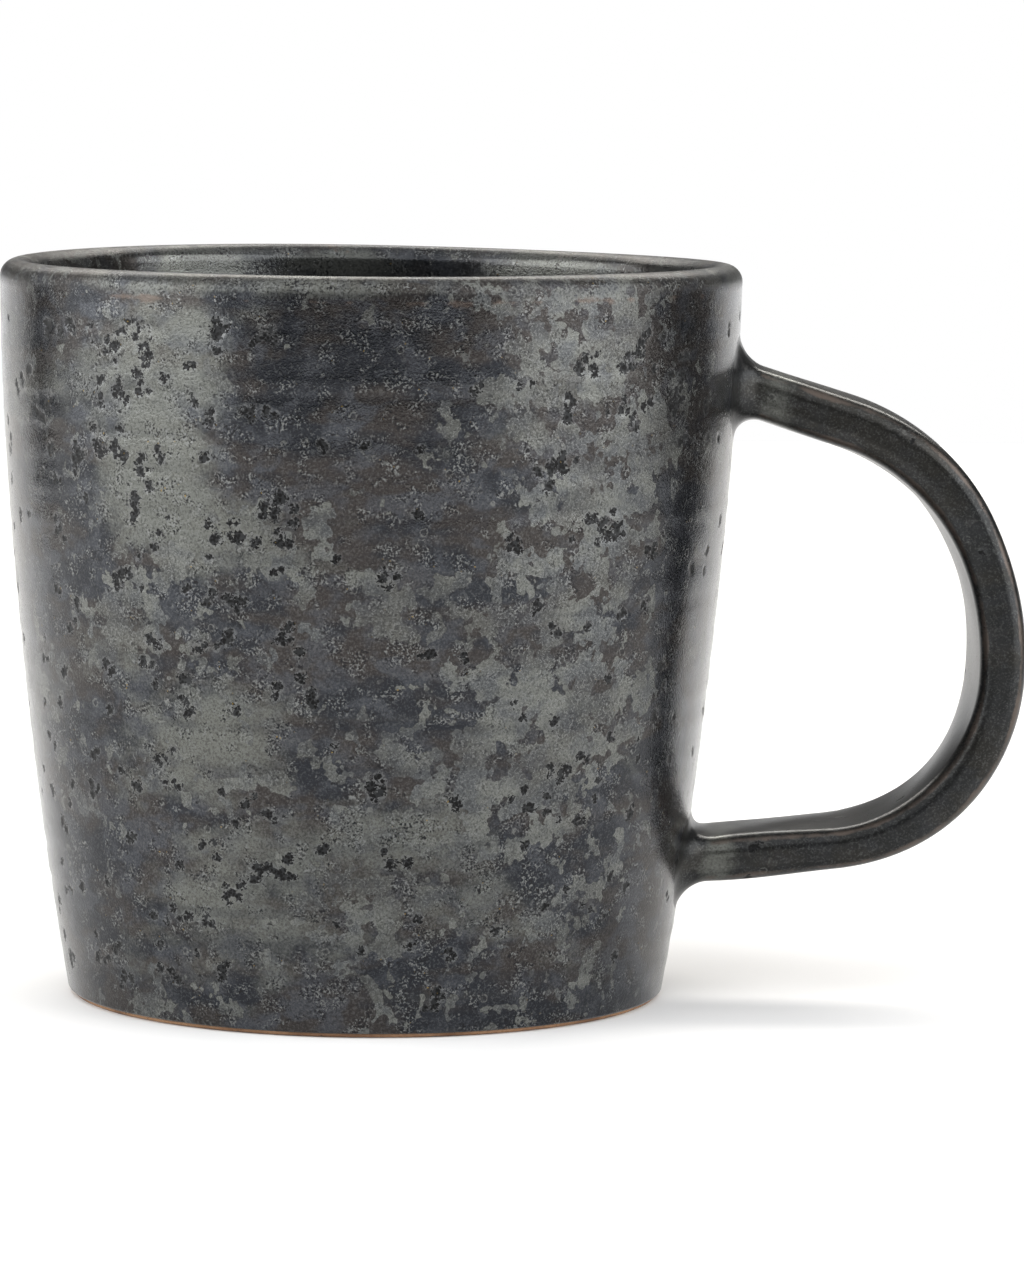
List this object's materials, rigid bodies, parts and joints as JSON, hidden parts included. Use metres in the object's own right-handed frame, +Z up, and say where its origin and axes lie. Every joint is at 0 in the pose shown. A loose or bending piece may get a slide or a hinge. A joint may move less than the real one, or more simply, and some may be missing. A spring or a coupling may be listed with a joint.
{
  "type": "ceramic mug",
  "caption": "Hand-thrown stoneware drinking mug with a tapered round cup, a rolled lip, a turned foot ring and a pulled strap handle luted to the wall, glazed dark slate grey inside and out.",
  "frame": {"origin": "centre of the foot ring, on the surface that the mug stands on", "axes": "+Z up along the cup's axis, +X towards the handle, +Y completes a right-handed frame, so the reference view looks along +Y"},
  "size_m": [0.1256, 0.0904, 0.09],
  "materials": {
    "stoneware_clay": "bare fired stoneware, matt",
    "joining_slip": "fired clay slip, matt",
    "slate_glaze": "satin-gloss mottled slate-grey reactive glaze with dark pits"
  },
  "bodies": {
    "root": {"cup_body": "stoneware_clay", "handle": "stoneware_clay", "upper_slip_joint": "joining_slip", "lower_slip_joint": "joining_slip", "outer_glaze": "slate_glaze", "liner_glaze": "slate_glaze", "base_glaze": "slate_glaze", "handle_glaze": "slate_glaze"}
  },
  "joints": []
}
